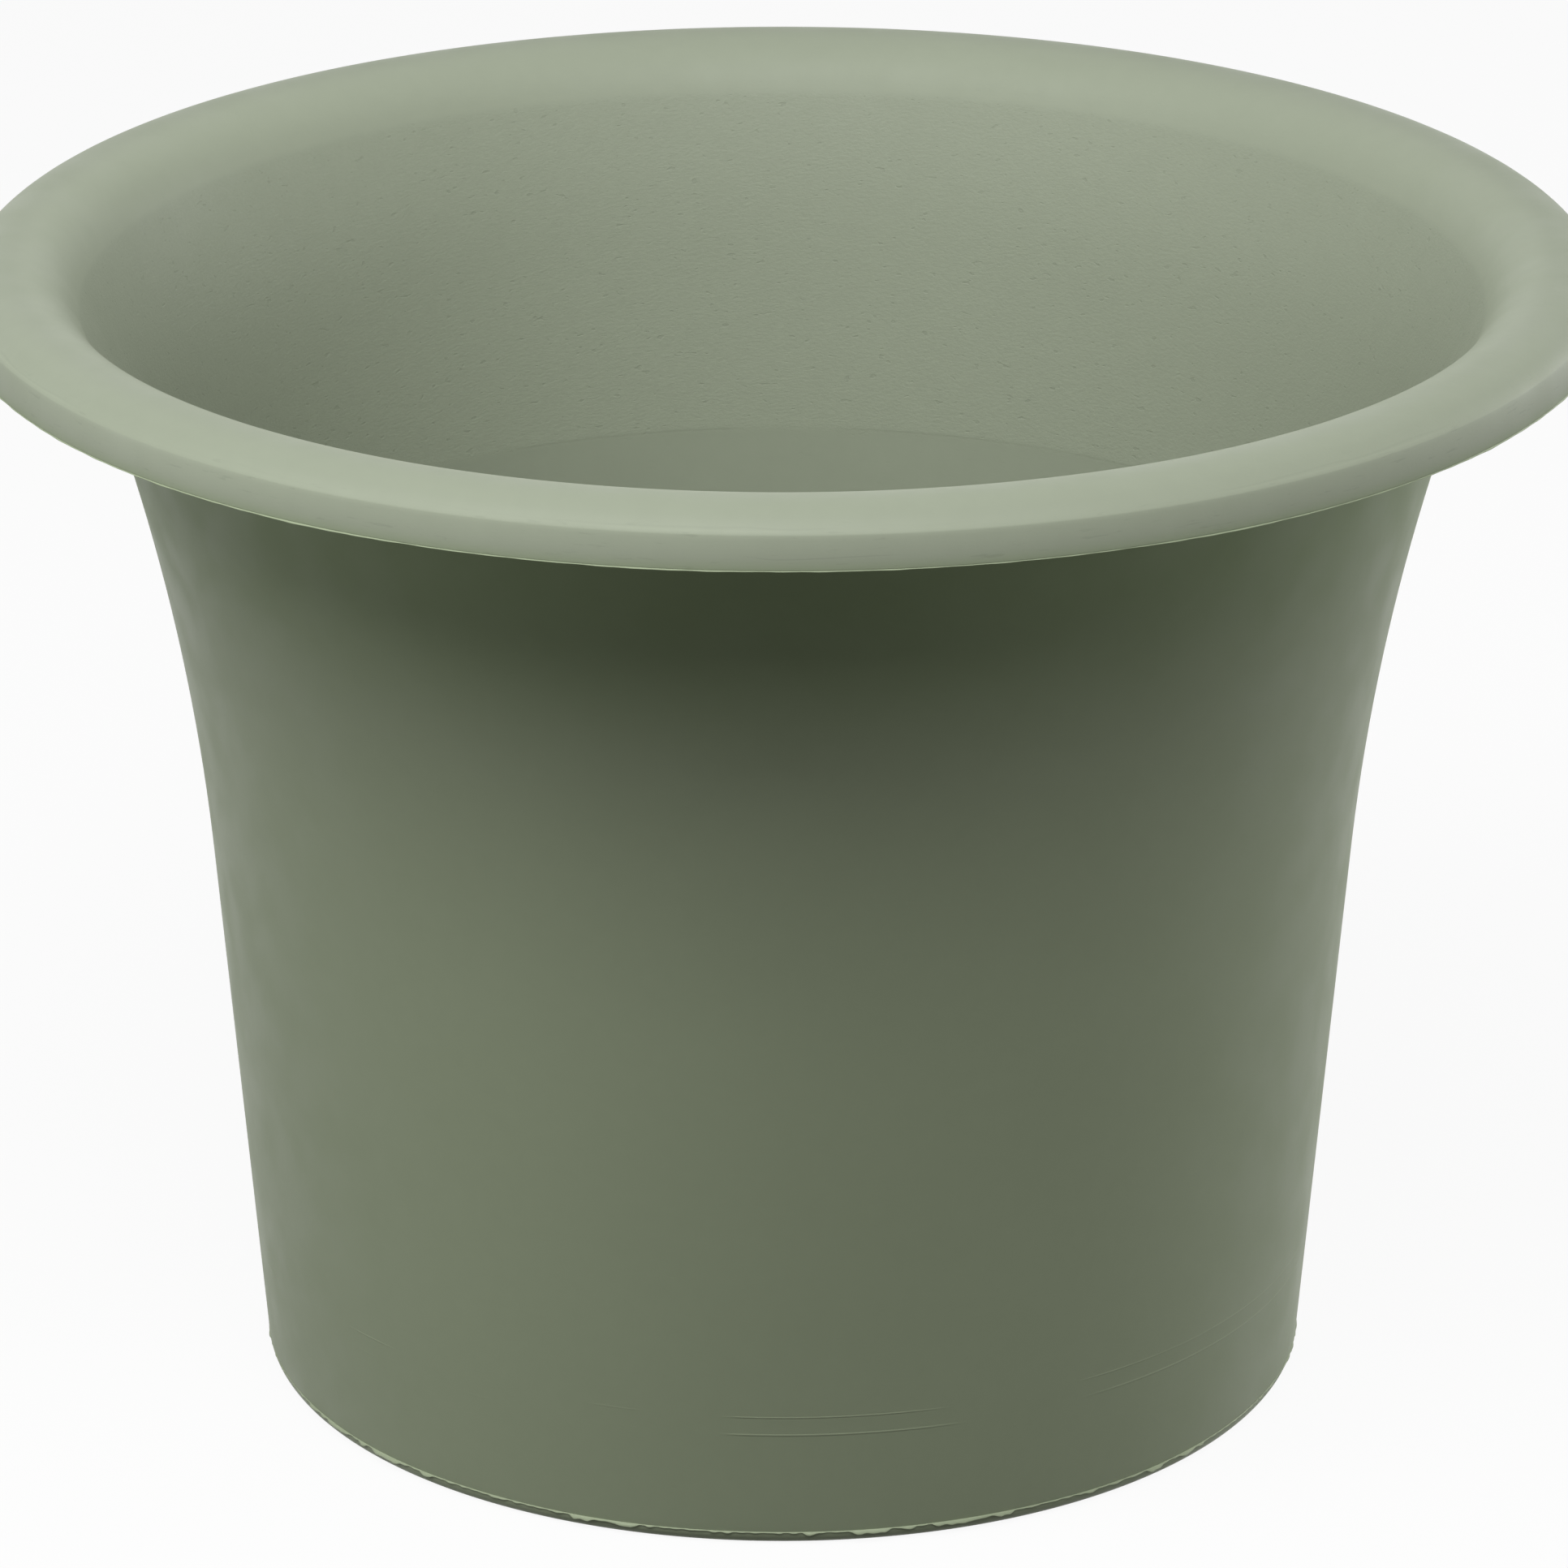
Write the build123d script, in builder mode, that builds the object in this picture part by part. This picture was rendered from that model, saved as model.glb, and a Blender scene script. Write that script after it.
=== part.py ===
from build123d import *
from math import cos, radians, sin
import os

# Round floor planter with a straight taper, a flared neck and a rolled, turned down rim.
# Millimetres, +Z up, origin at the centre of the base on the floor.
# The planter is round, and -Y is its front.

# Overall sizes of the moulded shell
rim_diameter = 508.0
height = 365.0
base_diameter = 331.6
waist_diameter = 360.2
waist_height = 172.0
wall = 3.5

# Flare of the neck, measured from the crown of the rim
neck_inset = 36.1
neck_drop = 62.0

# Rolled rim, measured on its upper face
crown_inset = 14.6
roll_radius = 23.5
lip_radius = 16.0
lip_turn = 56.0
skirt_drop = 17.0

# Base with a foot ring round a raised floor panel
foot_width = 12.0
panel_rise = 6.5
panel_step_run = 4.0
foot_edge_radius = 3.9
floor_corner = 5.0

# Stiffening ribs and gate hub under the floor panel
rib_count = 8
rib_width = 3.0
rib_depth = 3.5
hub_diameter = 44.0

# Drain holes, each with a boss below and a shallow seat above
drain_count = 4
drain_circle = 190.0
drain_diameter = 20.0
boss_wall = 4.5
boss_depth = 4.5
seat_depth = 1.2

# Push-in drain plugs
flange_overlap = 5.0
flange_thickness = 2.6
flange_chamfer = 0.8
flange_clearance = 0.3
stem_clearance = 0.1
stem_wall = 2.4
stem_chamfer = 1.0
grip_length = 20.0
grip_width = 4.0
grip_height = 8.0
grip_chamfer = 1.2

# Places on the outer face of the shell, as radius and height
rim_radius = rim_diameter / 2
crown_radius = rim_radius - crown_inset
foot_corner = (base_diameter / 2, 0)
foot_inner = (base_diameter / 2 - foot_width, 0)
panel_edge = (base_diameter / 2 - foot_width - panel_step_run, panel_rise)
waist = (waist_diameter / 2, waist_height)
neck = (crown_radius - neck_inset, height - neck_drop)
skirt_end = (rim_radius - wall, height - skirt_drop)
panel_top = panel_rise + wall
boss_bottom = panel_rise - boss_depth

# Point on the inner face, straight across the wall from a point on an outer line's end
def across_wall(point, direction):
    return Vector(point) + Vector(-direction.Y, direction.X).normalized() * wall


# Shell of one constant wall, drawn in section and revolved
with BuildPart() as pot_shell:
    with BuildSketch(Plane.XZ) as section:
        with BuildLine():
            # Outer face of the base and wall
            Polyline((0, panel_rise), panel_edge, foot_inner, foot_corner)
            taper = Line(foot_corner, waist)
            flare = TangentArc(waist, neck, tangent=taper % 1)

            # The neck bend leaves the flare and meets the roll, tangent to both
            roll_centre = Vector(crown_radius, height - roll_radius)
            under_roll = roll_radius - wall
            outward = Vector((flare % 1).Y, -(flare % 1).X)
            reach = Vector(neck) - roll_centre
            bend_radius = (under_roll**2 - reach.length**2) / (2 * (outward.dot(reach) + under_roll))
            bend_centre = Vector(neck) + outward * bend_radius
            to_roll = (roll_centre - bend_centre) / (bend_radius - under_roll)
            bend = TangentArc(neck, roll_centre + to_roll * under_roll, tangent=flare % 1)

            # Underside of the rim, from the roll over the crown into the skirt
            TangentArc(bend @ 1, (crown_radius, height - wall), tangent=bend % 1)
            lip_centre = Vector(crown_radius, height - lip_radius)
            to_lip = Vector(sin(radians(lip_turn)), cos(radians(lip_turn)))
            lip_end = lip_centre + to_lip * (lip_radius - wall)
            TangentArc((crown_radius, height - wall), lip_end, tangent=(1, 0))
            skirt = Line(lip_end, skirt_end)

            # Upper face of the rim, back from the skirt over its crease to the roll
            skirt_tip = across_wall(skirt_end, skirt % 1)
            crease = lip_centre + to_lip * lip_radius
            Line(skirt_end, skirt_tip)
            TangentArc(skirt_tip, crease, tangent=(0, 1))
            TangentArc((crown_radius, height), crease, tangent=(1, 0))
            inner_bend = across_wall(neck, flare % 1)
            roll_foot = roll_centre + to_roll * roll_radius
            TangentArc(roll_foot, (crown_radius, height), tangent=bend % 1)
            TangentArc(inner_bend, roll_foot, tangent=flare % 1)

            # Inner face of the wall and the floor
            inner_waist = across_wall(waist, taper % 1)
            TangentArc(inner_waist, inner_bend, tangent=taper % 1)
            inner_foot = across_wall(foot_corner, taper % 0)
            inner_taper = Line(inner_waist, inner_foot + (inner_waist - inner_foot) * (wall / inner_waist.Y))
            channel = (foot_inner[0] + wall, wall)
            Polyline(inner_taper @ 1, channel, (panel_edge[0] + wall / 2, panel_top), (0, panel_top))
            Line((0, panel_top), (0, panel_rise))
        make_face()
        fillet(section.vertices().sort_by_distance(foot_corner)[0], foot_edge_radius)
        chamfer(section.vertices().sort_by_distance(inner_taper @ 1)[0], floor_corner)
    revolve(axis=Axis.Z)

    # Ribs run from the hub into the step of the foot ring
    with BuildSketch(Plane.XY.offset(panel_rise)):
        with PolarLocations(foot_inner[0] / 2, rib_count):
            Rectangle(foot_inner[0], rib_width)
    extrude(amount=-rib_depth)
    with BuildSketch(Plane.XY.offset(panel_rise)):
        Circle(hub_diameter / 2)
    extrude(amount=-rib_depth)

    # Bosses carry the drain holes below the panel, with a seat for each plug above
    with BuildSketch(Plane.XY.offset(boss_bottom)):
        with PolarLocations(drain_circle / 2, drain_count):
            Circle(drain_diameter / 2 + boss_wall)
    extrude(amount=boss_depth)
    with Locations(Plane.XY.offset(panel_top)):
        with PolarLocations(drain_circle / 2, drain_count):
            CounterBoreHole(
                radius=drain_diameter / 2,
                counter_bore_radius=drain_diameter / 2 + flange_overlap + flange_clearance,
                counter_bore_depth=seat_depth,
            )
pot_shell.part.label = "pot_shell"

# One drain plug, drawn about its own hole, with its flange down on the seat
seat_height = panel_top - seat_depth
stem_radius = drain_diameter / 2 - stem_clearance
with BuildPart() as drain_plug:
    with BuildSketch(Plane.XY.offset(seat_height)):
        Circle(drain_diameter / 2 + flange_overlap)
    extrude(amount=flange_thickness)
    chamfer(drain_plug.edges().group_by(Axis.Z)[-1], flange_chamfer)

    # Hollow stem down to the underside of the boss
    with BuildSketch(Plane.XY.offset(boss_bottom)):
        Circle(stem_radius)
        Circle(stem_radius - stem_wall, mode=Mode.SUBTRACT)
    extrude(amount=seat_height - boss_bottom)
    tip = drain_plug.edges().group_by(Axis.Z)[0].sort_by(SortBy.RADIUS)[-1]
    chamfer(tip, stem_chamfer)

    # Grip to pull it out by
    with BuildSketch(Plane.XY.offset(seat_height + flange_thickness)):
        SlotOverall(grip_length, grip_width)
    grip = extrude(amount=grip_height)
    chamfer(grip.edges().group_by(Axis.Z)[-1], grip_chamfer)

os.makedirs("parts", exist_ok=True)
export_step(pot_shell.part, "parts/pot_shell.step")

for number, hole in enumerate(PolarLocations(drain_circle / 2, drain_count).locations, 1):
    with BuildPart() as placed_plug:
        add(drain_plug.part.moved(hole))
    placed_plug.part.label = f"drain_plug_{number}"
    export_step(placed_plug.part, f"parts/drain_plug_{number}.step")
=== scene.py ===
from math import pi, radians
from types import SimpleNamespace

import bpy
import numpy as np
from bpy.props import FloatProperty, FloatVectorProperty, PointerProperty
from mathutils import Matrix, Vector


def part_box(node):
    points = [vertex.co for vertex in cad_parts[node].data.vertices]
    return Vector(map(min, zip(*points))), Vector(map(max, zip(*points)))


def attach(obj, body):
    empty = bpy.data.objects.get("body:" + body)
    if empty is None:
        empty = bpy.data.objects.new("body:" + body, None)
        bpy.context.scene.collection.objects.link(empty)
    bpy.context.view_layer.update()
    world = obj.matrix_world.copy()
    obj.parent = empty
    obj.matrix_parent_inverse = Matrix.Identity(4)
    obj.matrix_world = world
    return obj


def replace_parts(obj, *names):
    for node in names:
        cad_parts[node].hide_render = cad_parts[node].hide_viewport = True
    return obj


bl_info = {
    "name": "Moulded Flower Pot",
    "version": (1, 0, 0),
    "blender": (4, 5, 0),
    "location": "3D View > Sidebar > Flower Pot",
    "description": "Dresses a moulded flower pot with a turned-down rim and push-in drain plugs",
    "category": "Object",
}

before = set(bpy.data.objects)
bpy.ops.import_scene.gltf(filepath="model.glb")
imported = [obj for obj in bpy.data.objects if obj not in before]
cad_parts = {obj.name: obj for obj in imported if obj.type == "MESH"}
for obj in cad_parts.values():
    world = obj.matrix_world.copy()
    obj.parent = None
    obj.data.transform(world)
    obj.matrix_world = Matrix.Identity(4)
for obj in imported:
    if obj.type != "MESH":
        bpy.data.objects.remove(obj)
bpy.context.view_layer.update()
RIM_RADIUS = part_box("pot_shell")[1].x
POT_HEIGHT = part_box("pot_shell")[1].z
PLUGS = sorted(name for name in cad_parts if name.startswith("drain_plug"))

MM = 0.001

# Raised middle of the floor: radius and height of its lower edge, radius + i height of its
# upper one, and the radius within which its triangles lie
PANEL_EDGE = 149.8 * MM
PANEL_RISE = 6.5 * MM
PANEL_TOP_EDGE = (151.55 + 10.0j) * MM
PANEL_REACH = 154.3 * MM

# Heights of the lines that the mould left on the shell
LOW_WITNESS = 38.5 * MM
HIGH_WITNESS = 44.6 * MM
INNER_RING = 242.0 * MM
SKIRT_LINE = POT_HEIGHT - 11.5 * MM
CREASE_LINE = POT_HEIGHT - 6.1 * MM
LIP_LINE = POT_HEIGHT - 3.8 * MM

# Heights between which a look fades in, with none of it at the first and all at the second
NECK_SHADE_FADE = (255.0 * MM, 325.0 * MM)
RIM_FADE = (POT_HEIGHT - 23.0 * MM, POT_HEIGHT - 13.0 * MM)
SKIRT_FADE = (POT_HEIGHT - 22.0 * MM, POT_HEIGHT - 18.5 * MM)
ROLL_HIGHLIGHT_FADE = (POT_HEIGHT - 16.5 * MM, POT_HEIGHT - 14.0 * MM)
FLASH_FADE = (POT_HEIGHT - 13.5 * MM, POT_HEIGHT - 16.0 * MM)
GRAIN_TOP = (POT_HEIGHT - 14.5 * MM, POT_HEIGHT - 17.0 * MM)
GRAIN_FOOT = (INNER_RING - 2.5 * MM, INNER_RING + 1.5 * MM)

# The same for the radius within which all is floor, for the normal's outward and upward
# parts, and for the places round the rim between which the skirt's line runs
FLOOR_FADE = (158.0 * MM, 156.0 * MM)
INNER_FACE = (0.0, -0.35)
SKIRT_FACE = (0.55, 0.95)
UPTURNED_FACE = (0.2, 0.5)
LINE_LEFT_END = (-0.06, 0.0)
LINE_RIGHT_END = (0.14, 0.1)

# Spacing of the section's points, and how many points each turned mesh has
STEP = 0.1 * MM
SHELL_ROWS, SHELL_COLUMNS = 400, 230
FLASH_ROWS = 2400

# Softness of the section's edges, and of the bend under the roll
EDGE_SOFTNESS = 0.25 * MM
BEND_SOFTNESS = 2.8 * MM

SHELL_FINISH = "moulded matte polypropylene"
SMOOTH = {"interpolation_type": "SMOOTHSTEP"}


def colour(text):
    """Colour written as an sRGB hex string, as scene-linear red, green and blue."""
    values = [int(text[i:i + 2], 16) / 255 for i in (1, 3, 5)]
    return tuple(v / 12.92 if v <= 0.04045 else ((v + 0.055) / 1.055) ** 2.4 for v in values)


# Sizes and colours that a user may change


class PotSizes(bpy.types.PropertyGroup):
    """Sizes of the shell's section and of the mould marks on it."""

    wall: FloatProperty(
        name="Wall",
        description="Thickness of the moulded wall",
        default=0.0035,
        min=0.001,
        max=0.01,
        unit="LENGTH",
    )
    base_radius: FloatProperty(
        name="Base radius",
        description="Radius of the outer wall where it would meet the ground",
        default=0.1658,
        min=0.05,
        max=0.4,
        unit="LENGTH",
    )
    waist_radius: FloatProperty(
        name="Waist radius",
        description="Radius of the outer wall where the cone ends and the flare begins",
        default=0.1801,
        min=0.05,
        max=0.4,
        unit="LENGTH",
    )
    waist_height: FloatProperty(
        name="Waist height",
        description="Height at which the flare begins",
        default=0.172,
        min=0.05,
        max=0.3,
        unit="LENGTH",
    )
    crown_inset: FloatProperty(
        name="Crown inset",
        description="Distance from the widest part of the rim in to its crown",
        default=0.0146,
        min=0.005,
        max=0.05,
        unit="LENGTH",
    )
    neck_inset: FloatProperty(
        name="Neck inset",
        description="Distance from the crown in to the outer wall at the neck",
        default=0.0361,
        min=0.01,
        max=0.08,
        unit="LENGTH",
    )
    neck_drop: FloatProperty(
        name="Neck drop",
        description="Distance from the top down to the neck",
        default=0.062,
        min=0.02,
        max=0.12,
        unit="LENGTH",
    )
    roll_radius: FloatProperty(
        name="Roll radius",
        description="Radius of the rim's inner curve",
        default=0.0235,
        min=0.01,
        max=0.05,
        unit="LENGTH",
    )
    lip_radius: FloatProperty(
        name="Lip radius",
        description="Radius of the rim's outer curve",
        default=0.016,
        min=0.008,
        max=0.04,
        unit="LENGTH",
    )
    lip_turn: FloatProperty(
        name="Lip turn",
        description="Angle through which the outer curve turns down to the crease",
        default=radians(56.0),
        min=radians(20.0),
        max=radians(85.0),
        unit="ROTATION",
    )
    skirt_drop: FloatProperty(
        name="Skirt drop",
        description="Distance from the top down to the inside of the skirt's lower edge",
        default=0.0176,
        min=0.01,
        max=0.04,
        unit="LENGTH",
    )
    foot_width: FloatProperty(
        name="Foot width",
        description="Width of the ring that the pot stands on",
        default=0.012,
        min=0.004,
        max=0.03,
        unit="LENGTH",
    )
    foot_edge_radius: FloatProperty(
        name="Foot edge radius",
        description="Rounding of the outer edge of the foot",
        default=0.0039,
        min=0.001,
        max=0.008,
        unit="LENGTH",
    )
    floor_corner: FloatProperty(
        name="Floor corner",
        description="Size of the sloped corner where the wall meets the floor",
        default=0.005,
        min=0.001,
        max=0.01,
        unit="LENGTH",
    )
    base_flash_height: FloatProperty(
        name="Base flash height",
        description="Tallest part of the ledge of squeezed-out resin above the base edge",
        default=0.0011,
        min=0.0002,
        max=0.003,
        unit="LENGTH",
    )
    base_flash_level: FloatProperty(
        name="Base flash level",
        description="Height of the top of the ledge above the ground",
        default=0.00445,
        min=0.002,
        max=0.01,
        unit="LENGTH",
    )
    skirt_flash_height: FloatProperty(
        name="Skirt flash height",
        description="Depth of the thin ledge along the lower edge of the rim's skirt",
        default=0.0006,
        min=0.0001,
        max=0.002,
        unit="LENGTH",
    )


class PotColours(bpy.types.PropertyGroup):
    """Colours of the two resins and of the studio floor."""

    resin: FloatVectorProperty(
        name="Shell resin",
        description="Sage-green pigment of the moulded shell",
        default=colour("#A3AB97"),
        subtype="COLOR",
        size=3,
        min=0.0,
        max=1.0,
    )
    # Greener tint that the shader gives the outer wall below the rim
    skin: FloatVectorProperty(
        name="Outer skin",
        description="Same pigment where the polished outer half of the mould left it greener",
        default=colour("#A0AB8F"),
        subtype="COLOR",
        size=3,
        min=0.0,
        max=1.0,
    )
    # Painted shade: darker skin colour laid in the hollow of the neck, where the rim shades the wall
    neck: FloatVectorProperty(
        name="Neck skin",
        description="Outer skin in the hollow of the neck, where the pigment is deepest",
        default=colour("#8F9F79"),
        subtype="COLOR",
        size=3,
        min=0.0,
        max=1.0,
    )
    plug: FloatVectorProperty(
        name="Plug resin",
        description="Slightly darker pigment of the push-in drain plugs",
        default=colour("#8E9783"),
        subtype="COLOR",
        size=3,
        min=0.0,
        max=1.0,
    )
    paper: FloatVectorProperty(
        name="Paper",
        description="Paper that the pot stands on, as it is seen",
        default=colour("#F9F9F9"),
        subtype="COLOR",
        size=3,
        min=0.0,
        max=1.0,
    )
    bounce: FloatVectorProperty(
        name="Paper bounce",
        description="Colour with which the paper throws light back on the pot",
        default=colour("#656563"),
        subtype="COLOR",
        size=3,
        min=0.0,
        max=1.0,
    )


# Nodes


def add_node(tree, kind, inputs=(), output=0, **settings):
    """Adds one node with its settings, links or sets its sockets, and gives one of its outputs.

    The inputs are a tuple in the order of the sockets, or a dictionary by their names or
    numbers. A socket that gets another node's output is linked to it, and one that gets a
    plain value holds that value.
    """
    node = tree.nodes.new("ShaderNode" + kind)
    for name, value in settings.items():
        setattr(node, name, value)
    for socket, value in inputs.items() if isinstance(inputs, dict) else enumerate(inputs):
        if isinstance(value, bpy.types.NodeSocket):
            tree.links.new(value, node.inputs[socket])
        else:
            node.inputs[socket].default_value = value
    return node.outputs[output] if node.outputs else None


def overlap(tree, first, *others):
    """Mask that is as strong as the product of the given masks: 1 only where all of them are."""
    for other in others:
        first = add_node(tree, "Math", (first, other), operation="MULTIPLY")
    return first


def line_at(tree, value, level, half_width):
    """1 on a thin line where the value equals the level, falling to 0 at its half width."""
    away = add_node(tree, "Math", (value, level), operation="SUBTRACT")
    away = add_node(tree, "Math", (away,), operation="ABSOLUTE")
    return add_node(tree, "MapRange", (away, half_width, 0.0), **SMOOTH)


def shift_colour(tree, base, amount, gain):
    """Colour multiplied by 1 plus an amount times a gain."""
    factor = add_node(tree, "Math", (amount, gain, 1.0), operation="MULTIPLY_ADD")
    return add_node(tree, "VectorMath", {0: base, "Scale": factor}, operation="SCALE")


def seen_directly(tree):
    """1 for camera, glossy and transmission rays, 0 for the rays that only carry light."""
    path = add_node(tree, "LightPath").node.outputs
    seen = add_node(tree, "Math", (path["Is Camera Ray"], path["Is Glossy Ray"]), operation="MAXIMUM")
    return add_node(tree, "Math", (seen, path["Is Transmission Ray"]), operation="MAXIMUM")


def new_material(name):
    """Empty node material and its tree."""
    material = bpy.data.materials.new(name)
    material.use_nodes = True
    material.node_tree.nodes.clear()
    return material, material.node_tree


# Materials


def shell_places(tree):
    """Coordinates on the shell, and masks of the places that its colour and relief share.

    height is above the ground, sideways is the x part of the spoke from the axis, and outward
    and upward are the normal's parts along the spoke and the axis.
    """
    coordinates = add_node(tree, "TexCoord").node.outputs
    position, normal = coordinates["Object"], coordinates["Normal"]
    height = add_node(tree, "SeparateXYZ", (position,), output="Z")
    flat = add_node(tree, "VectorMath", (position, (1.0, 1.0, 0.0)), operation="MULTIPLY")
    spoke = add_node(tree, "VectorMath", (flat,), operation="NORMALIZE")
    sideways = add_node(tree, "SeparateXYZ", (spoke,), output="X")
    upward = add_node(tree, "SeparateXYZ", (normal,), output="Z")
    outward = add_node(tree, "VectorMath", (normal, spoke), output="Value", operation="DOT_PRODUCT")

    # Everything that faces the axis, and the whole floor, is inside
    reach = add_node(tree, "VectorMath", (flat,), output="Value", operation="LENGTH")
    floor = add_node(tree, "MapRange", (reach, *FLOOR_FADE), **SMOOTH)
    inner_face = add_node(tree, "MapRange", (outward, *INNER_FACE), **SMOOTH)
    inside = add_node(tree, "Math", (inner_face, floor), operation="MAXIMUM")
    outside = add_node(tree, "Math", (1.0, inside), operation="SUBTRACT")

    # Witness rings low on the outer wall, broken up every 50 mm or so
    breaks = add_node(tree, "TexNoise", {"Vector": position, "Scale": 1.0 / (50.0 * MM), "Detail": 1.0})
    breaks = add_node(tree, "MapRange", (breaks, 0.42, 0.6), **SMOOTH)
    low_ring = line_at(tree, height, LOW_WITNESS, 0.5 * MM)
    high_ring = line_at(tree, height, HIGH_WITNESS, 0.4 * MM)
    rings = add_node(tree, "Math", (low_ring, high_ring), operation="MAXIMUM")

    # Sandy grain of the inner wall between the ring and the roll. Real grain of this kind is
    # under 1 mm across: it is drawn 1.6 mm wide, and its pits 3.5 mm apart, so that they show
    drawn = add_node(tree, "VectorMath", (position, (1.0, 1.0, 2.0)), operation="MULTIPLY")
    grain = {"Vector": drawn, "Scale": 1.0 / (1.6 * MM), "Detail": 3.0, "Roughness": 0.65}
    sand = add_node(tree, "TexNoise", grain)
    pits = add_node(tree, "TexNoise", {"Vector": drawn, "Scale": 1.0 / (3.5 * MM), "Detail": 1.0})
    pits = add_node(tree, "MapRange", (pits, 0.69, 0.74), **SMOOTH)
    above = add_node(tree, "MapRange", (height, *GRAIN_FOOT), **SMOOTH)
    under_roll = add_node(tree, "MapRange", (height, *GRAIN_TOP), **SMOOTH)

    return SimpleNamespace(
        position=position,
        height=height,
        sideways=sideways,
        outward=outward,
        upward=upward,
        inside=inside,
        outside=outside,
        breaks=breaks,
        rings=overlap(tree, rings, breaks, outside),
        above=above,
        sand=sand,
        pits=pits,
        grained=overlap(tree, inside, above, under_roll),
    )


def shell_tint(tree, colours, at):
    """Colour of the shell at every place: the pigment, painted shade and highlights, the skirt's scuffs and
    the mould's marks.
    """
    # Pigment: greener outer skin, painted shade in the hollow of the neck under the rim, and a painted
    # highlight that makes the roll paler
    rim = add_node(tree, "MapRange", (at.height, *RIM_FADE), **SMOOTH)
    below_rim = add_node(tree, "Math", (1.0, rim), operation="SUBTRACT")
    skin = overlap(tree, at.outside, below_rim)
    pair = {"Factor": skin, 6: (*colours.resin, 1.0), 7: (*colours.skin, 1.0)}
    tint = add_node(tree, "Mix", pair, output=2, data_type="RGBA")
    # Painted shade: the outer skin darkened in the hollow of the neck, under the rim
    neck = add_node(tree, "MapRange", (at.height, *NECK_SHADE_FADE), **SMOOTH)
    pair = {"Factor": overlap(tree, skin, neck), 6: tint, 7: (*colours.neck, 1.0)}
    tint = add_node(tree, "Mix", pair, output=2, data_type="RGBA")
    # Painted highlight: the inside of the roll near the top made 7% paler
    roll = add_node(tree, "MapRange", (at.height, *ROLL_HIGHLIGHT_FADE), **SMOOTH)
    tint = shift_colour(tree, tint, overlap(tree, at.inside, roll), 0.07)

    # Clouding of the pigment 90 mm across, and mottling 6 mm across
    for size, detail, gain in ((90.0 * MM, 2.0, 0.06), (6.0 * MM, 4.0, 0.05)):
        pattern = {"Vector": at.position, "Scale": 1.0 / size, "Detail": detail}
        blotches = add_node(tree, "TexNoise", pattern)
        blotches = add_node(tree, "Math", (blotches, 0.5), operation="SUBTRACT")
        tint = shift_colour(tree, tint, blotches, gain)

    # Turned-down skirt, made paler by painted light where its face catches the lamps, with short scuffs and
    # one drawn-out flow line
    face = add_node(tree, "MapRange", (at.outward, *SKIRT_FACE), **SMOOTH)
    over_neck = add_node(tree, "MapRange", (at.height, *SKIRT_FADE), **SMOOTH)
    skirt = overlap(tree, face, over_neck)
    # Painted light: the skirt's face lightened by 13%
    tint = shift_colour(tree, tint, skirt, 0.13)
    streaks = add_node(tree, "VectorMath", (at.position, (1.0, 1.0, 9.0)), operation="MULTIPLY")
    streaks = {"Vector": streaks, "Scale": 1.0 / (11.0 * MM), "Detail": 3.0, "Roughness": 0.6}
    scuffs = add_node(tree, "MapRange", (add_node(tree, "TexNoise", streaks), 0.62, 0.7), **SMOOTH)
    drift = add_node(tree, "TexNoise", {"Vector": at.position, "Scale": 1.0 / (30.0 * MM), "Detail": 1.0})
    drifting = add_node(tree, "Math", (drift, 3.0 * MM, at.height), operation="MULTIPLY_ADD")
    left_end = add_node(tree, "MapRange", (at.sideways, *LINE_LEFT_END), **SMOOTH)
    right_end = add_node(tree, "MapRange", (at.sideways, *LINE_RIGHT_END), **SMOOTH)
    flow_line = overlap(tree, line_at(tree, drifting, SKIRT_LINE, 0.25 * MM), left_end, right_end)
    marks = add_node(tree, "Math", (flow_line, overlap(tree, scuffs, 0.8)), operation="MAXIMUM")
    tint = shift_colour(tree, tint, overlap(tree, marks, skirt), -0.12)

    # Broken lines along the lip's outer curve: a pale one above the crease, a painted highlight where the
    # rounded edge catches the light, and a darker one higher
    breaks = add_node(tree, "TexNoise", {"Vector": at.position, "Scale": 1.0 / (80.0 * MM), "Detail": 1.0})
    breaks = add_node(tree, "MapRange", (breaks, 0.35, 0.6), **SMOOTH)
    crease_highlight = line_at(tree, at.height, CREASE_LINE, 0.5 * MM)
    dark_line = line_at(tree, drifting, LIP_LINE, 0.4 * MM)
    lines = add_node(tree, "Math", (crease_highlight, dark_line), operation="SUBTRACT")
    tint = shift_colour(tree, tint, overlap(tree, lines, breaks, at.outside), 0.04)

    # Painted highlight: upward-facing slivers of squeezed-out resin on the outer wall made paler, as if lit
    # from above
    painted_top_highlight = add_node(tree, "MapRange", (at.upward, *UPTURNED_FACE), **SMOOTH)
    under_crease = add_node(tree, "MapRange", (at.height, *FLASH_FADE), **SMOOTH)
    tint = shift_colour(tree, tint, overlap(tree, painted_top_highlight, under_crease, at.outside), 0.2)

    # Paler witness rings outside; a faint broken ring inside, and the inner wall below it slightly darker
    tint = shift_colour(tree, tint, at.rings, 0.12)
    inner_ring = line_at(tree, at.height, INNER_RING, 0.6 * MM)
    tint = shift_colour(tree, tint, overlap(tree, inner_ring, at.inside, at.breaks), -0.09)
    below = add_node(tree, "Math", (1.0, at.above), operation="SUBTRACT")
    tint = shift_colour(tree, tint, overlap(tree, at.inside, below), -0.055)

    # Grain that is as pale as it is high, with darker pits
    sand = add_node(tree, "Math", (at.sand, 0.5), operation="SUBTRACT")
    tint = shift_colour(tree, tint, overlap(tree, sand, at.grained), 0.12)
    return shift_colour(tree, tint, overlap(tree, at.pits, at.grained), -0.07)


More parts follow.
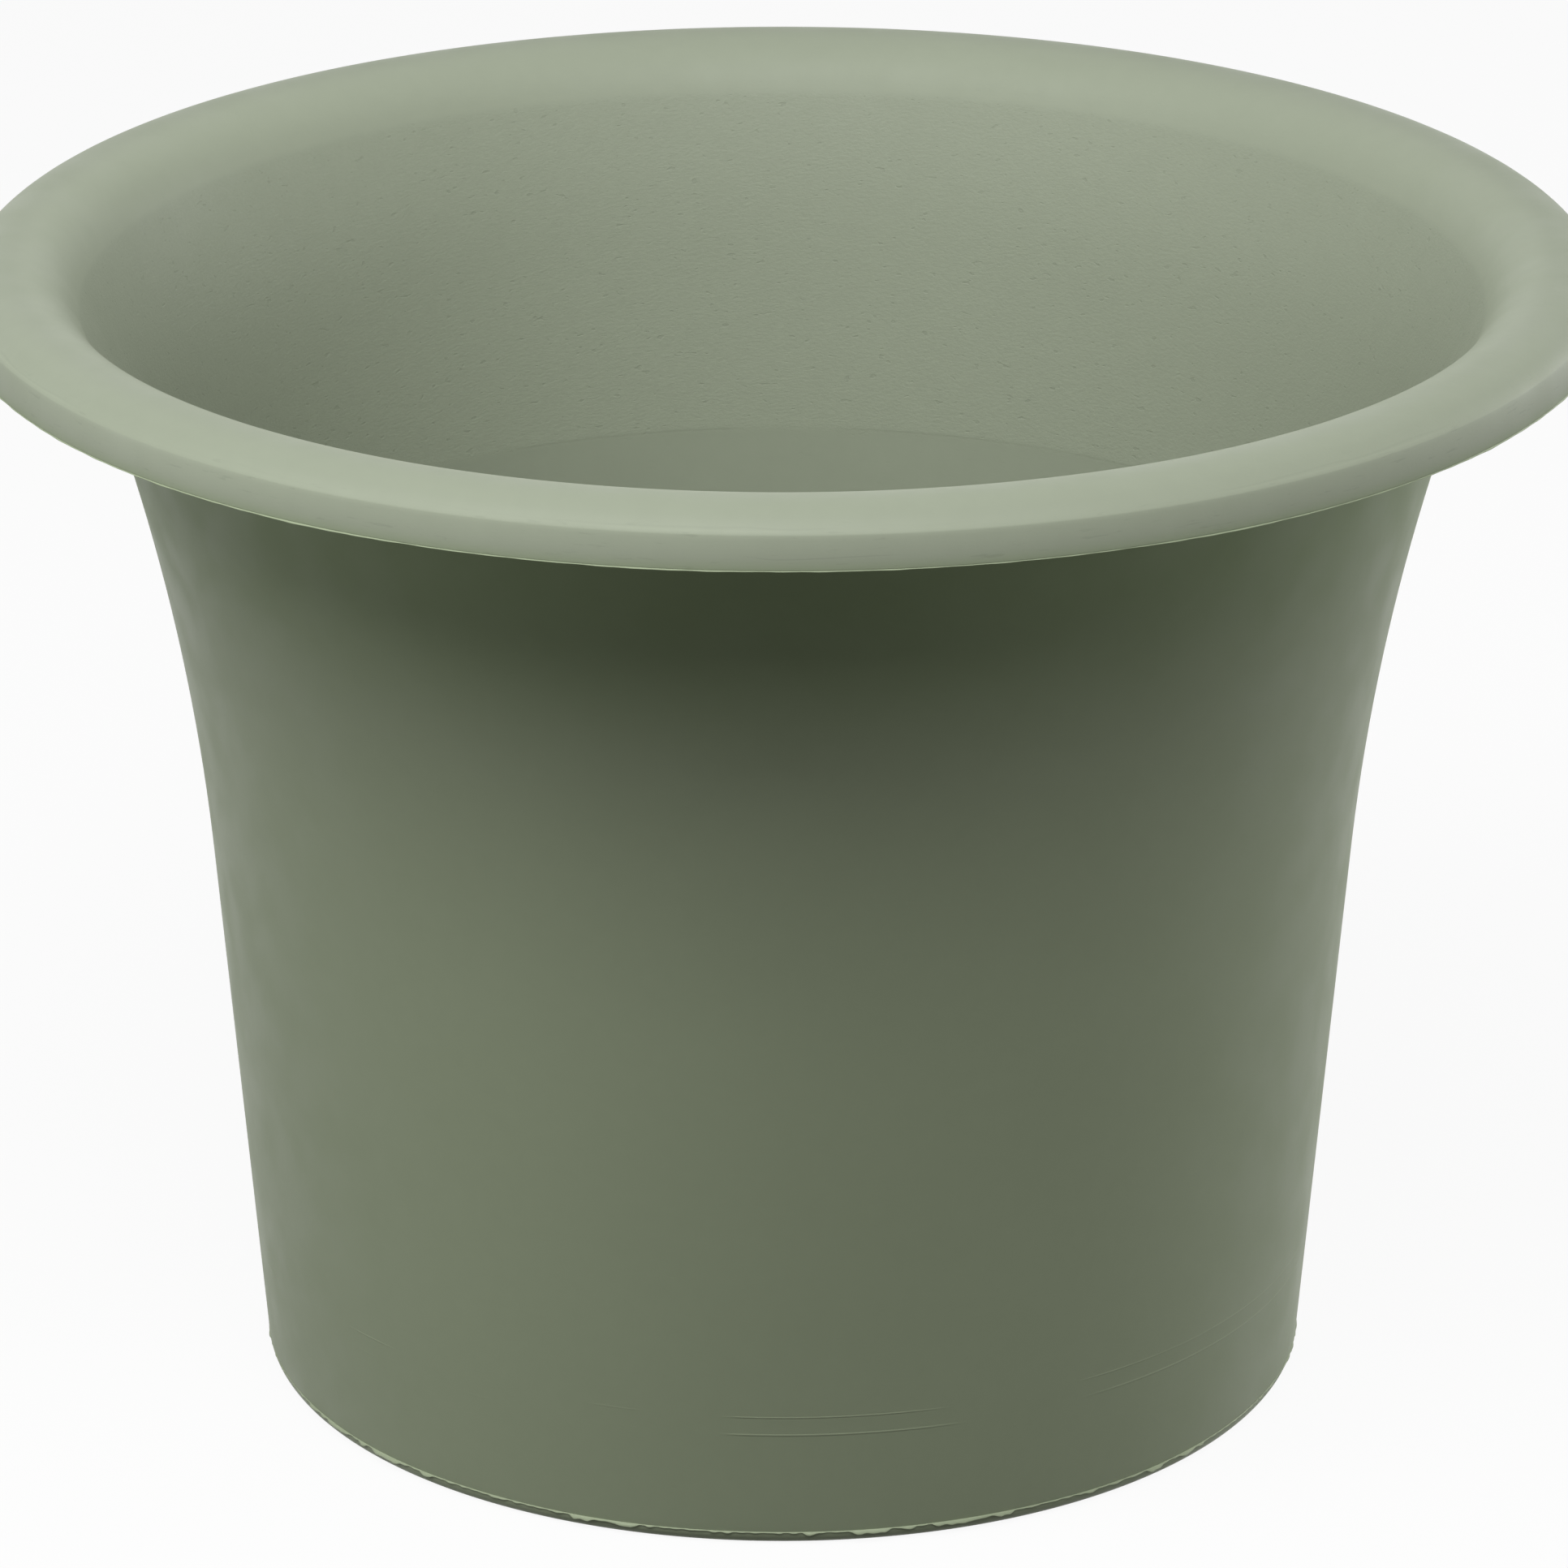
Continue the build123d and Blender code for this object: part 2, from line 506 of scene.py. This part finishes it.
def shell_relief(tree, at):
    """Normal of the shell: sandy grain inside, a trace of it outside, and the raised rings."""
    half_pits = overlap(tree, at.pits, 0.5)
    grain = add_node(tree, "Math", (at.sand, half_pits), operation="SUBTRACT")
    depth = add_node(tree, "Math", (at.grained, 0.85, 0.15), operation="MULTIPLY_ADD")
    grain = overlap(tree, grain, depth)
    relief = add_node(tree, "Math", (at.rings, 0.8, grain), operation="MULTIPLY_ADD")
    return add_node(tree, "Bump", {"Strength": 0.45, "Distance": 0.3 * MM, "Height": relief})


def moulded_matte_polypropylene(colours):
    """Matte injection-moulded polypropylene: soft sheen, grain inside, mould rings outside.

    Gives the eye a dull, even green with faint clouding of the pigment, a sandy grain on the
    inner wall above a faint ring, and two broken witness lines low on the outer wall.
    """
    material, tree = new_material(SHELL_FINISH)
    at = shell_places(tree)
    gloss = add_node(tree, "TexNoise", {"Vector": at.position, "Scale": 1.0 / (20.0 * MM), "Detail": 3.0})
    gloss = add_node(tree, "MapRange", (gloss, 0.3, 0.7, 0.43, 0.52), **SMOOTH)
    finish = {
        "Base Color": shell_tint(tree, colours, at),
        "Roughness": gloss,
        "Normal": shell_relief(tree, at),
        "IOR": 1.49,
        "Specular IOR Level": 0.2,
    }
    add_node(tree, "OutputMaterial", {"Surface": add_node(tree, "BsdfPrincipled", finish)})
    return material


def soft_polyethylene(colours):
    """Soft injection-moulded polyethylene of the plugs.

    Gives the eye a waxy, slightly darker green, a little glossier than the shell.
    """
    material, tree = new_material("soft waxy polyethylene")
    position = add_node(tree, "TexCoord", output="Object")
    clouds = add_node(tree, "TexNoise", {"Vector": position, "Scale": 1.0 / (8.0 * MM), "Detail": 3.0})
    clouds = add_node(tree, "Math", (clouds, 0.5), operation="SUBTRACT")
    skin = add_node(tree, "TexNoise", {"Vector": position, "Scale": 1.0 / (0.6 * MM), "Detail": 2.0})
    finish = {
        "Base Color": shift_colour(tree, tuple(colours.plug), clouds, 0.08),
        "Roughness": 0.42,
        "Normal": add_node(tree, "Bump", {"Strength": 0.2, "Distance": 0.1 * MM, "Height": skin}),
        "IOR": 1.51,
    }
    add_node(tree, "OutputMaterial", {"Surface": add_node(tree, "BsdfPrincipled", finish)})
    return material


def pale_paper(colours):
    """Seamless studio paper: seen as near white, while it still takes the pot's shadow."""
    material, tree = new_material("pale seamless paper")
    seen = seen_directly(tree)
    pair = {"Factor": seen, 6: (*colours.bounce, 1.0), 7: (*colours.paper, 1.0)}
    tint = add_node(tree, "Mix", pair, output=2, data_type="RGBA")
    finish = {"Base Color": tint, "Roughness": 0.9, "Specular IOR Level": 0.0}
    paper = add_node(tree, "BsdfPrincipled", finish)
    lift = add_node(tree, "Emission", {"Color": (1.0, 1.0, 1.0, 1.0), "Strength": 1.0})
    blend = add_node(tree, "MixShader", (overlap(tree, seen, 0.93), paper, lift))
    add_node(tree, "OutputMaterial", {"Surface": blend})
    return material


def shell_finish():
    """The shell's material, made the first time that a piece asks for it."""
    made = bpy.data.materials.get(SHELL_FINISH)
    return made or moulded_matte_polypropylene(bpy.context.scene.pot_colours)


def give_material(obj, material):
    """Puts one material in every slot of an object."""
    if not obj.material_slots:
        obj.data.materials.append(material)
    for slot in obj.material_slots:
        slot.material = material


# Meshes


def turned_mesh(name, radius, level, closed):
    """Surface of revolution from two grids, radius and level, with rows round the axis.

    Point (i, j) stands at angle 2 pi i / rows, at radius[i, j] from the axis and level[i, j]
    above the ground. The rows always wrap round, and the columns do where it is closed.
    """
    rows, columns = radius.shape
    angle = np.linspace(0.0, 2.0 * pi, rows, endpoint=False)[:, None]
    points = np.stack([radius * np.cos(angle), radius * np.sin(angle), level], axis=-1)
    i, j = np.meshgrid(np.arange(rows), np.arange(columns if closed else columns - 1), indexing="ij")
    next_i, next_j = (i + 1) % rows, (j + 1) % columns
    corners = [i * columns + j, next_i * columns + j, next_i * columns + next_j, i * columns + next_j]
    faces = np.stack(corners, axis=-1).reshape(-1, 4)
    mesh = bpy.data.meshes.new(name)
    mesh.from_pydata(points.reshape(-1, 3).tolist(), [], faces.tolist())
    mesh.polygons.foreach_set("use_smooth", np.ones(len(faces), bool))
    mesh.update()
    return mesh


def straight(start, end):
    """Points every tenth of a millimetre along a straight run of the section."""
    return np.linspace(start, end, max(2, round(abs(end - start) / STEP)))


def bend_from(start, direction, end):
    """Points of the arc that leaves start along a direction and ends at end, and its last direction.

    Points of the section are complex numbers, radius + i height. The arc turns through twice
    the angle from the direction to the chord, and its centre lies square to the direction.
    """
    chord = end - start
    turn = 2.0 * np.angle(chord / direction)
    side = 1j * direction
    centre = start + side * abs(chord) ** 2 / (2.0 * (chord * np.conj(side)).real)
    count = max(2, round(abs(start - centre) * abs(turn) / STEP))
    swing = np.exp(1j * np.linspace(0.0, turn, count))
    return centre + (start - centre) * swing, direction * np.exp(1j * turn)


def blurred(path, reach):
    """Section softened by a Gaussian of the given reach in metres along its length."""
    half = int(4 * reach / STEP)
    weight = np.exp(-0.5 * (np.arange(-half, half + 1) * STEP / reach) ** 2)
    padded = np.concatenate([np.full(half, path[0]), path, np.full(half, path[-1])])
    return np.convolve(padded, weight / weight.sum(), mode="valid")


def shell_section(sizes):
    """Section of the shell from the underside of its base over the rim to its floor.

    The outer wall is a cone, a flare, a neck bend, the roll's underside and the lip's, each
    tangent to the last. The inner and upper faces are the same line moved across the wall.
    """
    wall = sizes.wall
    crown = RIM_RADIUS - sizes.crown_inset
    base = sizes.base_radius
    waist = sizes.waist_radius + 1j * sizes.waist_height
    neck = crown - sizes.neck_inset + 1j * (POT_HEIGHT - sizes.neck_drop)
    rise = (waist - base) / abs(waist - base)
    flare, flare_end = bend_from(waist, rise, neck)

    # The neck bend touches both the flare's end and the underside of the roll
    roll = crown + 1j * (POT_HEIGHT - sizes.roll_radius)
    under = sizes.roll_radius - wall
    outward = -1j * flare_end
    reach = neck - roll
    radius = (under**2 - abs(reach) ** 2) / (2.0 * ((outward * np.conj(reach)).real + under))
    roll_start = roll + under * (roll - neck - outward * radius) / (radius - under)
    bend, bend_end = bend_from(neck, flare_end, roll_start)
    roll_under, _ = bend_from(roll_start, bend_end, crown + 1j * (POT_HEIGHT - wall))
    to_lip = np.exp(1j * (pi / 2.0 - sizes.lip_turn))
    lip = crown + 1j * (POT_HEIGHT - sizes.lip_radius)
    lip_under, _ = bend_from(crown + 1j * (POT_HEIGHT - wall), 1.0, lip + to_lip * (sizes.lip_radius - wall))
    spine = np.concatenate([straight(base, waist), flare, bend, roll_under, lip_under])
    spine = spine[np.r_[True, np.abs(np.diff(spine)) > 1e-9]]
    along = np.gradient(spine)
    upper = (spine + 1j * along / np.abs(along) * wall)[::-1]

    # Foot ring, with its rounded outer edge
    foot = base - sizes.foot_width
    turn = np.angle(rise)
    edge = sizes.foot_edge_radius * np.tan(turn / 2.0)
    edge_round, _ = bend_from(base - edge, 1.0, base + edge * rise)
    outer = spine[spine.imag > edge_round[-1].imag]
    below = [straight(PANEL_EDGE + 1j * PANEL_RISE, foot), straight(foot, base - edge), edge_round]

    # Skirt under the crease, and its blunt lower edge
    skirt_end = RIM_RADIUS - wall + 1j * (POT_HEIGHT - sizes.skirt_drop)
    down = (skirt_end - spine[-1]) / abs(skirt_end - spine[-1])
    tip = skirt_end + 1j * down * wall
    skirt, _ = bend_from(tip, 1j, upper[0])
    rim = [straight(spine[-1], skirt_end), straight(skirt_end, tip), skirt]

    # Channel round the raised middle of the floor
    inner = upper[upper.imag > wall + sizes.floor_corner]
    channel = foot + wall + 1j * wall
    corner = inner[-1].real - sizes.floor_corner + 1j * wall
    floor = [straight(inner[-1], corner), straight(corner, channel), straight(channel, PANEL_TOP_EDGE)]
    path = np.concatenate([*below, outer, *rim, inner, *floor])
    path = path[np.r_[True, np.abs(np.diff(path)) > 1e-9]]

    # Edges are softened a little, and the bend under the roll more: fully so from 28 to 9 mm
    # below the top and 8 mm or more inside the crown. The ends stay where they meet the floor
    fine, broad = blurred(path, EDGE_SOFTNESS), blurred(path, BEND_SOFTNESS)
    over_neck = np.clip((path.imag - POT_HEIGHT + 40.0 * MM) / (12.0 * MM), 0.0, 1.0)
    under_crown = np.clip((POT_HEIGHT - 3.0 * MM - path.imag) / (6.0 * MM), 0.0, 1.0)
    within_crown = np.clip((crown - 4.0 * MM - path.real) / (4.0 * MM), 0.0, 1.0)
    soft = fine + (broad - fine) * over_neck * under_crown * within_crown
    soft[0], soft[-1] = path[0], path[-1]
    return soft


def thinned(path, count):
    """Radius and height of the given number of points of a section.

    A point is due after every 6 mm or every turn of 4 degrees, or the same share of both, and
    the points stand evenly along the sum of these dues.
    """
    along = np.diff(path)
    turn = np.r_[0.0, np.abs(np.angle(along[1:] / along[:-1]))]
    due = np.r_[0.0, np.cumsum(np.abs(along) / (6.0 * MM) + turn / radians(4.0))]
    order = np.arange(len(path))
    picks = np.interp(np.linspace(0.0, due[-1], count), due, order)
    return np.interp(picks, order, path.real), np.interp(picks, order, path.imag)


def wander(angle, seed, waves):
    """Smooth closed wobble between about -1 and 1: a sum of seeded sines round the ring."""
    dice = np.random.default_rng(seed)
    total = np.zeros_like(angle)
    for count in waves:
        total += dice.uniform(0.5, 1.0) * np.sin(count * angle + dice.uniform(0.0, 2.0 * pi))
    return total / np.sqrt(len(waves))


def add_piece(name, mesh):
    """Object at the origin, riding on the pot and finished as its shell."""
    obj = bpy.data.objects.new(name, mesh)
    bpy.context.scene.collection.objects.link(obj)
    give_material(obj, shell_finish())
    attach(obj, "pot")
    return obj


def ledge(radius, top, drop, proud):
    """Radius and level grids of a thin ledge of squeezed-out resin, six points at every angle.

    Its face slopes from the wall at the top down to a tip that stands proud of the wall by
    the given amount, and turns back under the tip. Both ends are buried in the wall.
    """
    reach = np.array([-0.5, 0.55, 0.98, 1.0, 0.0, -0.5])[None, :]
    fall = np.array([1.1, 1.12, 1.08, 0.95, 0.0, -0.1])[None, :]
    return radius[:, None] + reach * proud[:, None], top[:, None] - fall * drop[:, None]


# Steps


class AddShell(bpy.types.Operator):
    """Adds the shell's wall and rolled rim as one smooth turned surface"""

    bl_idname = "flower_pot.add_shell"
    bl_label = "Add the shell"

    def execute(self, context):
        radius, level = thinned(shell_section(context.scene.pot_sizes), SHELL_COLUMNS)
        rows = np.ones((SHELL_ROWS, 1))
        mesh = turned_mesh("shell_skin", rows * radius, rows * level, closed=False)
        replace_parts(add_piece("shell_skin", mesh), "pot_shell")
        return {"FINISHED"}


class AddFloorPanel(bpy.types.Operator):
    """Adds the raised middle of the floor, with its drain seats and the ribs below it"""

    bl_idname = "flower_pot.add_floor_panel"
    bl_label = "Add the floor panel"

    def execute(self, context):
        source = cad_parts["pot_shell"].data
        corners = np.empty(len(source.loops), np.int32)
        source.loops.foreach_get("vertex_index", corners)
        normals = np.empty(len(source.loops) * 3, np.float32)
        source.corner_normals.foreach_get("vector", normals)
        points = np.empty(len(source.vertices) * 3, np.float32)
        source.vertices.foreach_get("co", points)
        points, triangles = points.reshape(-1, 3), corners.reshape(-1, 3)

        # The triangles of the floor's middle, without those that touch the ground
        distance = np.hypot(points[:, 0], points[:, 1])[triangles]
        foot = (points[:, 2][triangles] < 0.1 * MM) & (distance > PANEL_EDGE)
        keep = (distance.max(axis=1) < PANEL_REACH) & ~foot.any(axis=1)
        places, faces = np.unique(points[triangles[keep].ravel()], axis=0, return_inverse=True)
        mesh = bpy.data.meshes.new("floor_panel")
        mesh.from_pydata(places.tolist(), [], faces.reshape(-1, 3).tolist())
        mesh.polygons.foreach_set("use_smooth", np.ones(int(keep.sum()), bool))
        mesh.normals_split_custom_set(normals.reshape(-1, 3, 3)[keep].reshape(-1, 3).tolist())
        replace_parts(add_piece("floor_panel", mesh), "pot_shell")
        return {"FINISHED"}


class DressPlugs(bpy.types.Operator):
    """Gives the push-in drain plugs their softer resin"""

    bl_idname = "flower_pot.dress_plugs"
    bl_label = "Dress the drain plugs"

    def execute(self, context):
        material = soft_polyethylene(context.scene.pot_colours)
        for name in PLUGS:
            give_material(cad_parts[name], material)
        return {"FINISHED"}


class AddBaseFlash(bpy.types.Operator):
    """Adds the ragged ledge of resin where the two halves of the mould met above the base edge"""

    bl_idname = "flower_pot.add_base_flash"
    bl_label = "Add the base flash"

    def execute(self, context):
        sizes = context.scene.pot_sizes
        angle = np.linspace(0.0, 2.0 * pi, FLASH_ROWS, endpoint=False)

        # Depth at each angle: an even part, blobs of two sizes, and a fine raggedness
        blobs = wander(angle, 3, (5, 11, 17, 26)) + 0.8 * wander(angle, 5, (43, 71, 104, 131))
        ragged = 0.27 + 0.65 * np.clip(1.3 * blobs, 0.0, 1.0) + 0.1 * wander(angle, 6, (163, 211, 257))

        # Full at the front, where the mould's halves met least well, and thin behind
        front = np.clip(0.1 - 1.3 * np.sin(angle), 0.0, 1.0)
        drop = sizes.base_flash_height * np.clip(ragged, 0.2, 1.1) * (0.15 + 0.85 * front)
        top = sizes.base_flash_level + 0.1 * MM * wander(angle, 8, (3, 7, 12))
        radius = sizes.base_radius + (sizes.waist_radius - sizes.base_radius) * top / sizes.waist_height
        mesh = turned_mesh("base_flash", *ledge(radius, top, drop, 0.9 * drop), closed=True)
        add_piece("base_flash", mesh)
        return {"FINISHED"}


class AddSkirtFlash(bpy.types.Operator):
    """Adds the thin ledge of resin along the lower edge of the turned-down rim"""

    bl_idname = "flower_pot.add_skirt_flash"
    bl_label = "Add the skirt flash"

    def execute(self, context):
        sizes = context.scene.pot_sizes

        # The lowest point of the skirt's outer face
        section = shell_section(sizes)
        edge = float(section.imag[section.real > RIM_RADIUS - 0.8 * MM].min())
        angle = np.linspace(0.0, 2.0 * pi, FLASH_ROWS, endpoint=False)
        ragged = 0.8 + 0.14 * wander(angle, 21, (4, 11, 17, 29)) + 0.1 * wander(angle, 22, (61, 97, 151))
        drop = sizes.skirt_flash_height * np.clip(ragged, 0.4, 1.2)

        # It starts 0.4 mm above that point and 0.3 mm inside the face
        radius = np.full_like(angle, RIM_RADIUS - 0.3 * MM)
        top = np.full_like(angle, edge + 0.4 * MM)
        mesh = turned_mesh("skirt_flash", *ledge(radius, top, drop, 0.9 * drop), closed=True)
        add_piece("skirt_flash", mesh)
        return {"FINISHED"}


# Name, place, target, width and height, and watts of each soft lamp
LAMPS = (
    ("front softbox", (0.0, -1.5, 1.95), (0.0, 0.0, 0.3), (1.6, 0.8), 12.4),
    ("high front softbox", (0.0, -1.1, 2.2), (0.0, 0.0, 0.3), (1.6, 0.8), 16.8),
    ("top softbox", (0.0, -0.6, 2.3), (0.0, 0.0, 0.3), (1.2, 0.6), 4.6),
    ("high left softbox", (-1.3, -0.8, 1.9), (0.0, 0.0, 0.2), (0.9, 0.9), 14.0),
    ("back right softbox", (1.8, 1.1, 0.5), (0.0, 0.0, 0.15), (0.8, 1.0), 10.5),
    ("left flank softbox", (-2.2, 0.0, 0.4), (0.0, 0.0, 0.15), (0.8, 0.8), 6.6),
    ("right flank softbox", (2.2, 0.0, 0.4), (0.0, 0.0, 0.15), (0.8, 0.8), 6.4),
)

# Half the floor's side, and how many squares it has along a side
FLOOR_REACH = 6.0
FLOOR_SQUARES = 24


def add_lamp(name, place, target, size, power):
    """Soft white lamp, a rectangle at a place, turned towards a target."""
    data = bpy.data.lights.new(name, "AREA")
    data.shape = "RECTANGLE"
    data.size, data.size_y = size
    data.energy = power
    lamp = bpy.data.objects.new(name, data)
    bpy.context.scene.collection.objects.link(lamp)
    lamp.location = place
    direction = Vector(target) - Vector(place)
    lamp.rotation_euler = direction.to_track_quat("-Z", "Y").to_euler()


def add_camera():
    """Camera in front of the pot, looking 21 degrees down, with the pot filling the frame."""
    data = bpy.data.cameras.new("camera")
    data.lens = 195.5
    data.sensor_width = 36.0
    data.shift_x = 0.0009
    camera = bpy.data.objects.new("camera", data)
    bpy.context.scene.collection.objects.link(camera)
    camera.location = (0.0, -2.5151, 1.1543)
    camera.rotation_euler = (radians(68.94), 0.0, 0.0)
    bpy.context.scene.camera = camera


def white_surround():
    """World seen as plain white, while it sheds only a little light on the pot."""
    world = bpy.data.worlds.new("white surround")
    world.use_nodes = True
    tree = world.node_tree
    tree.nodes.clear()
    white = {"Color": (1.0, 1.0, 1.0, 1.0)}
    fill = add_node(tree, "Background", {**white, "Strength": 0.05})
    shown = add_node(tree, "Background", {**white, "Strength": 1.0})
    blend = add_node(tree, "MixShader", (seen_directly(tree), fill, shown))
    add_node(tree, "OutputWorld", {"Surface": blend})
    return world


def floor_mesh():
    """Flat square floor at height 0, as a grid of squares."""
    count = FLOOR_SQUARES + 1
    steps = np.linspace(-FLOOR_REACH, FLOOR_REACH, count)
    x, y = np.meshgrid(steps, steps, indexing="ij")
    points = np.stack([x, y, np.zeros_like(x)], axis=-1).reshape(-1, 3)
    i, j = np.meshgrid(np.arange(FLOOR_SQUARES), np.arange(FLOOR_SQUARES), indexing="ij")
    corner = i * count + j
    faces = np.stack([corner, corner + count, corner + count + 1, corner + 1], axis=-1)
    mesh = bpy.data.meshes.new("floor")
    mesh.from_pydata(points.tolist(), [], faces.reshape(-1, 4).tolist())
    return mesh


class SetStage(bpy.types.Operator):
    """Adds the camera, the soft lamps, the white surround and the pale floor"""

    bl_idname = "flower_pot.set_stage"
    bl_label = "Set the stage"

    def execute(self, context):
        scene = context.scene
        add_camera()
        for lamp in LAMPS:
            add_lamp(*lamp)
        scene.world = white_surround()
        floor = bpy.data.objects.new("floor", floor_mesh())
        scene.collection.objects.link(floor)
        give_material(floor, pale_paper(scene.pot_colours))
        scene.view_settings.view_transform = "Standard"
        return {"FINISHED"}


class PotPanel(bpy.types.Panel):
    """Lists the pot's sizes, colours and steps"""

    bl_idname = "VIEW3D_PT_flower_pot"
    bl_label = "Flower Pot"
    bl_space_type = "VIEW_3D"
    bl_region_type = "UI"
    bl_category = "Flower Pot"

    def draw(self, context):
        layout = self.layout
        for group in (context.scene.pot_sizes, context.scene.pot_colours):
            box = layout.box()
            for name in group.__annotations__:
                box.prop(group, name)
        for step in STEPS:
            layout.operator(step.bl_idname)


STEPS = (AddShell, AddFloorPanel, DressPlugs, AddBaseFlash, AddSkirtFlash, SetStage)
CLASSES = (PotSizes, PotColours, *STEPS, PotPanel)


def register():
    for item in CLASSES:
        bpy.utils.register_class(item)
    bpy.types.Scene.pot_sizes = PointerProperty(type=PotSizes)
    bpy.types.Scene.pot_colours = PointerProperty(type=PotColours)


def unregister():
    del bpy.types.Scene.pot_colours
    del bpy.types.Scene.pot_sizes
    for item in reversed(CLASSES):
        bpy.utils.unregister_class(item)


def main():
    register()
    bpy.ops.flower_pot.add_shell()
    bpy.ops.flower_pot.add_floor_panel()
    bpy.ops.flower_pot.dress_plugs()
    bpy.ops.flower_pot.add_base_flash()
    bpy.ops.flower_pot.add_skirt_flash()
    bpy.ops.flower_pot.set_stage()


if __name__ == "__main__":
    main()
